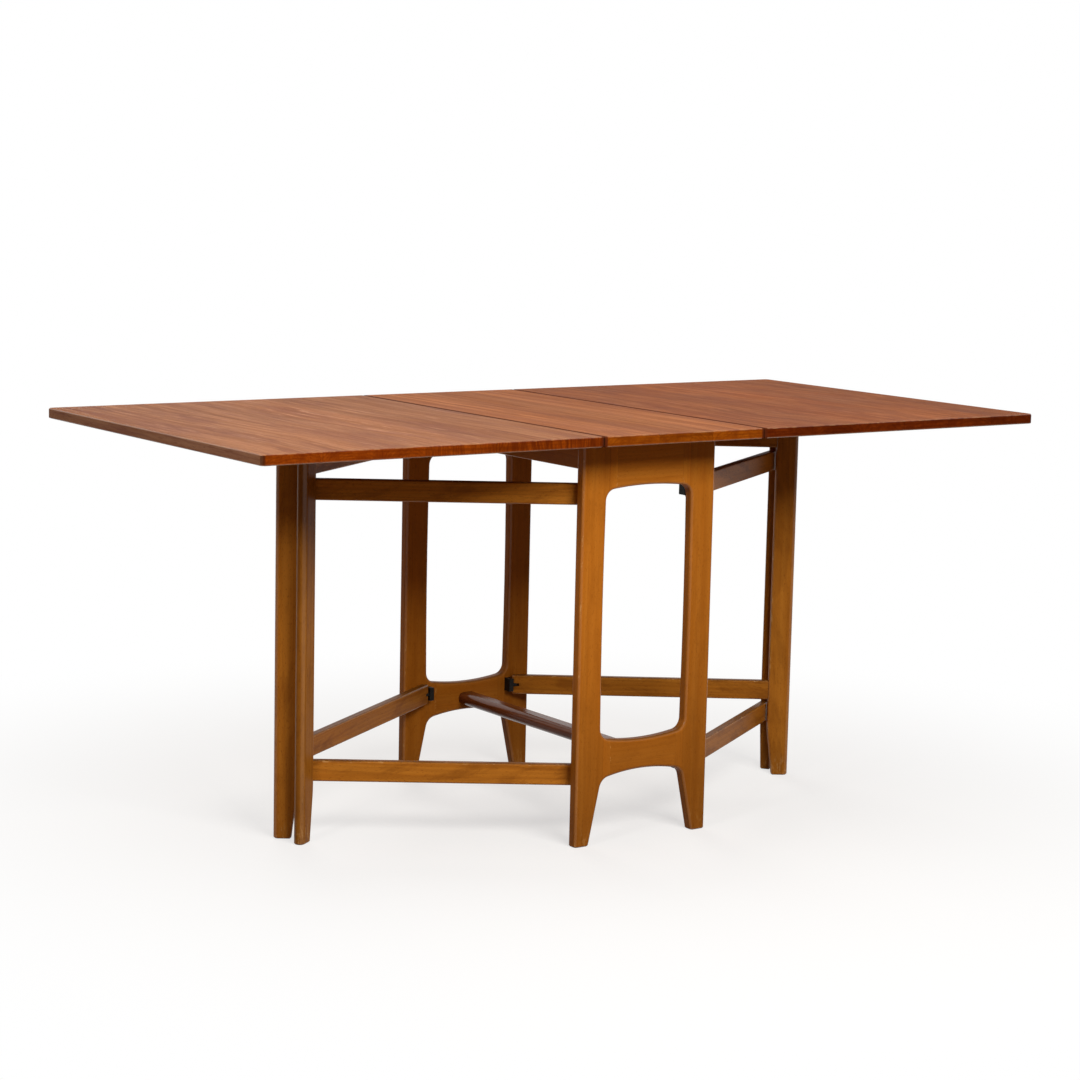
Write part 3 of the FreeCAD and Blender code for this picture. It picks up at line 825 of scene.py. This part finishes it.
# %% Wood looks
frame_look = {
    "name": "golden_frame_wood",
    "light": colour(0.545, 0.180, 0.018), "mid": colour(0.480, 0.145, 0.011),
    "dark": colour(0.280, 0.075, 0.004), "worn": colour(0.72, 0.40, 0.13),
    "pith": 0.11, "spacing": 0.0070, "slant": 0.0,
    "figure": 0.18, "patch": 0.20, "fibre": 0.55, "fleck": 0.40, "cloud": 0.18,
    "wear_and_highlight_strength": 0.50, "rounding_highlight": 0.10, "scuff": 0.35, "low_shade": 0.36, "low_shade_top": 0.42, "ledge_shade": 0.50,
    "rough": 0.36, "shine": 0.05,
}
gate_look = {
    "name": "brown_gate_wood",
    "light": colour(0.430, 0.155, 0.017), "mid": colour(0.360, 0.118, 0.011),
    "dark": colour(0.150, 0.040, 0.004), "worn": colour(0.62, 0.35, 0.13),
    "pith": 0.08, "spacing": 0.0065, "slant": 1.4,
    "figure": 0.32, "patch": 0.28, "fibre": 0.50, "fleck": 0.42, "cloud": 0.28,
    "wear_and_highlight_strength": 0.50, "rounding_highlight": 0.15, "scuff": 0.95, "low_shade": 0.12, "low_shade_top": 0.20, "ledge_shade": 0.50,
    "rough": 0.36, "shine": 0.05,
}
gate_rail_look = dict(gate_look, patch=0.46)
stretcher_look = {
    "name": "dark_stretcher_wood",
    "light": colour(0.230, 0.066, 0.018), "mid": colour(0.155, 0.040, 0.010),
    "dark": colour(0.045, 0.010, 0.004), "worn": colour(0.34, 0.16, 0.08),
    "pith": 0.09, "spacing": 0.0060, "slant": 0.0,
    "figure": 0.30, "patch": 0.25, "fibre": 0.45, "fleck": 0.15, "cloud": 0.26,
    "wear_and_highlight_strength": 0.20, "rounding_highlight": 0.0, "scuff": 0.0, "low_shade": 0.0, "low_shade_top": 0.1, "ledge_shade": 0.22,
    "rough": 0.18, "shine": 0.10,
}
dowel_colours = {"light": colour(0.60, 0.36, 0.16), "mid": colour(0.50, 0.29, 0.12)}
dowel_look = dict(frame_look, name="pale_dowel_wood", **dowel_colours)
print("woods", [look["name"] for look in (frame_look, gate_look, stretcher_look, dowel_look)])

# %% [markdown]
# Each end frame has two legs, two rails and the dowels between them.
# The place of the glued strip isn't written down: it is measured from the inner edge of each leg.
# Every bar takes the next seed, so no two are cut from the same place in a log.

# %% End frames
haunch_strip = 0.0165
frame_ends = ("front", "rear")
sides = ("left", "right")
# These tones are partly the boards' own and partly painted shade: the right legs are darker as if less
# lit.
frame_tones_and_shade = {"left": 0.97, "right": 0.85, "top": 0.99, "bottom": 1.02}
seed = 10.0
for end in frame_ends:
    for side in sides:
        leg = f"{end}_{side}_frame_leg"
        leg_low, leg_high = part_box(leg)
        joint = leg_low.x if side == "right" else leg_high.x
        strip_edge = joint + math.copysign(haunch_strip, joint)
        glued = (joint, strip_edge)
        dress(leg, hardwood(leg, frame_look, seed, "zxy", glue_places=glued, tone=frame_tones_and_shade[side]))
        seed += 1.0
    for level in ("top", "bottom"):
        rail = f"{end}_frame_{level}_rail"
        dress(rail, hardwood(rail, frame_look, seed, "xzy", tone=frame_tones_and_shade[level]))
        seed += 1.0
    dowels = f"{end}_frame_dowels"
    dress(dowels, hardwood(dowels, dowel_look, seed, "xzy"))
    seed += 1.0
dress("bearer", hardwood("bearer", frame_look, seed, "yxz"))
dress("lower_stretcher", hardwood("lower_stretcher", stretcher_look, seed + 1.0, "yxz"))
print("hardwood on the frames, bearer and stretcher")

# %% [markdown]
# A gate stands at an angle, so its grain space turns with it.
# The angle isn't written down: it is read from the pivot and the middle of the gate's leg.

# %% Gates
pivots = {joint["child"]: Vector(joint["pos_m"]) for joint in frame["joints"]}
# These tones are partly the pieces' own and partly painted light and shade, set for how each piece stands
# in the light.
gate_tones_and_light = {
    "front_left_gate": {"leg": 1.25, "lower_rail": 1.32, "upper_rail": 1.35},
    "front_right_gate": {"leg": 1.00, "lower_rail": 1.00, "upper_rail": 1.30},
    "rear_left_gate": {"leg": 0.80, "lower_rail": 0.95, "upper_rail": 1.20},
    "rear_right_gate": {"leg": 1.05, "lower_rail": 1.02, "upper_rail": 1.20},
}
seed = 40.0
for end in frame_ends:
    for side in sides:
        gate = f"{end}_{side}_gate"
        leg_low, leg_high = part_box(f"{gate}_leg")
        reach = (leg_low + leg_high) / 2 - pivots[gate]
        turn = math.atan2(reach.y, reach.x)
        for part, tone in gate_tones_and_light[gate].items():
            order = "zxy" if part == "leg" else "xzy"
            look = gate_look if part == "leg" else gate_rail_look
            piece = f"{gate}_{part}"
            dress(piece, hardwood(piece, look, seed, order, pivots[gate], turn, tone=tone))
            seed += 1.0
        print(gate, "turned", round(math.degrees(turn), 1), "degrees")

# %% [markdown]
# The pivot blocks and their screws are black, the hinge plates brass, and other screws and pins steel.
# Metal needs less figure than wood, but never one flat tone: handling, tarnish and fine
# brushing change the roughness first, and the colour only a little.

# %% Metal
brushing = Figure((900.0, 120.0, 900.0), own_seed=2.0)
rough_film, rough_scratches = 0.22, 0.18
metal_bump = {"Strength": 0.12, "Distance": 0.0002}


def worked_metal(name, base, stain, metallic, rough, film_waves, shine=0.5):
    """Metal or black paint with a cloudy film and fine scratches."""
    finish = Finish(name)
    place = finish.node("ShaderNodeTexCoord", output="Object")
    tarnish = Figure((film_waves,) * 3, own_seed=1.0, detail=5.0, rough=0.65, low=0.42, high=0.72)
    film = noise(finish, place, tarnish, 0.0)
    scratches = noise(finish, place, brushing, 0.0)
    return finish.surface({
        "Base Color": finish.mix(film.rise(tarnish.low, tarnish.high), base, stain),
        "Metallic": metallic,
        "Specular IOR Level": shine,
        "Roughness": rough + rough_film * (film - 0.5) + rough_scratches * (scratches - 0.5),
        "Normal": finish.node("ShaderNodeBump", {}, {**metal_bump, "Height": scratches}),
    })


black_paint = colour(0.008, 0.007, 0.006)
black_rubbed = colour(0.020, 0.017, 0.014)
brass_bright = colour(0.56, 0.37, 0.13)
brass_dull = colour(0.30, 0.18, 0.07)
steel_bright = colour(0.46, 0.45, 0.43)
steel_dull = colour(0.24, 0.22, 0.20)
black_metal = worked_metal(
    "black_block_metal", black_paint, black_rubbed, metallic=0.0, rough=0.42, film_waves=160.0, shine=0.12
)
hinge_brass = worked_metal(
    "hinge_brass", brass_bright, brass_dull, metallic=1.0, rough=0.34, film_waves=120.0
)
steel = worked_metal(
    "screw_steel", steel_bright, steel_dull, metallic=1.0, rough=0.36, film_waves=220.0
)

metal_by_ending = {
    "pivot_blocks": black_metal,
    "fixed_plates": hinge_brass,
    "moving_plates": hinge_brass,
    "block_screws": black_metal,
    "fixed_screws": steel,
    "moving_screws": steel,
    "fixing_screws": steel,
    "pins": steel,
}
for name in nodes:
    for ending, material in metal_by_ending.items():
        if name.endswith(ending):
            dress(name, material)
print("metal on", sum(name.endswith(tuple(metal_by_ending)) for name in nodes), "pieces")
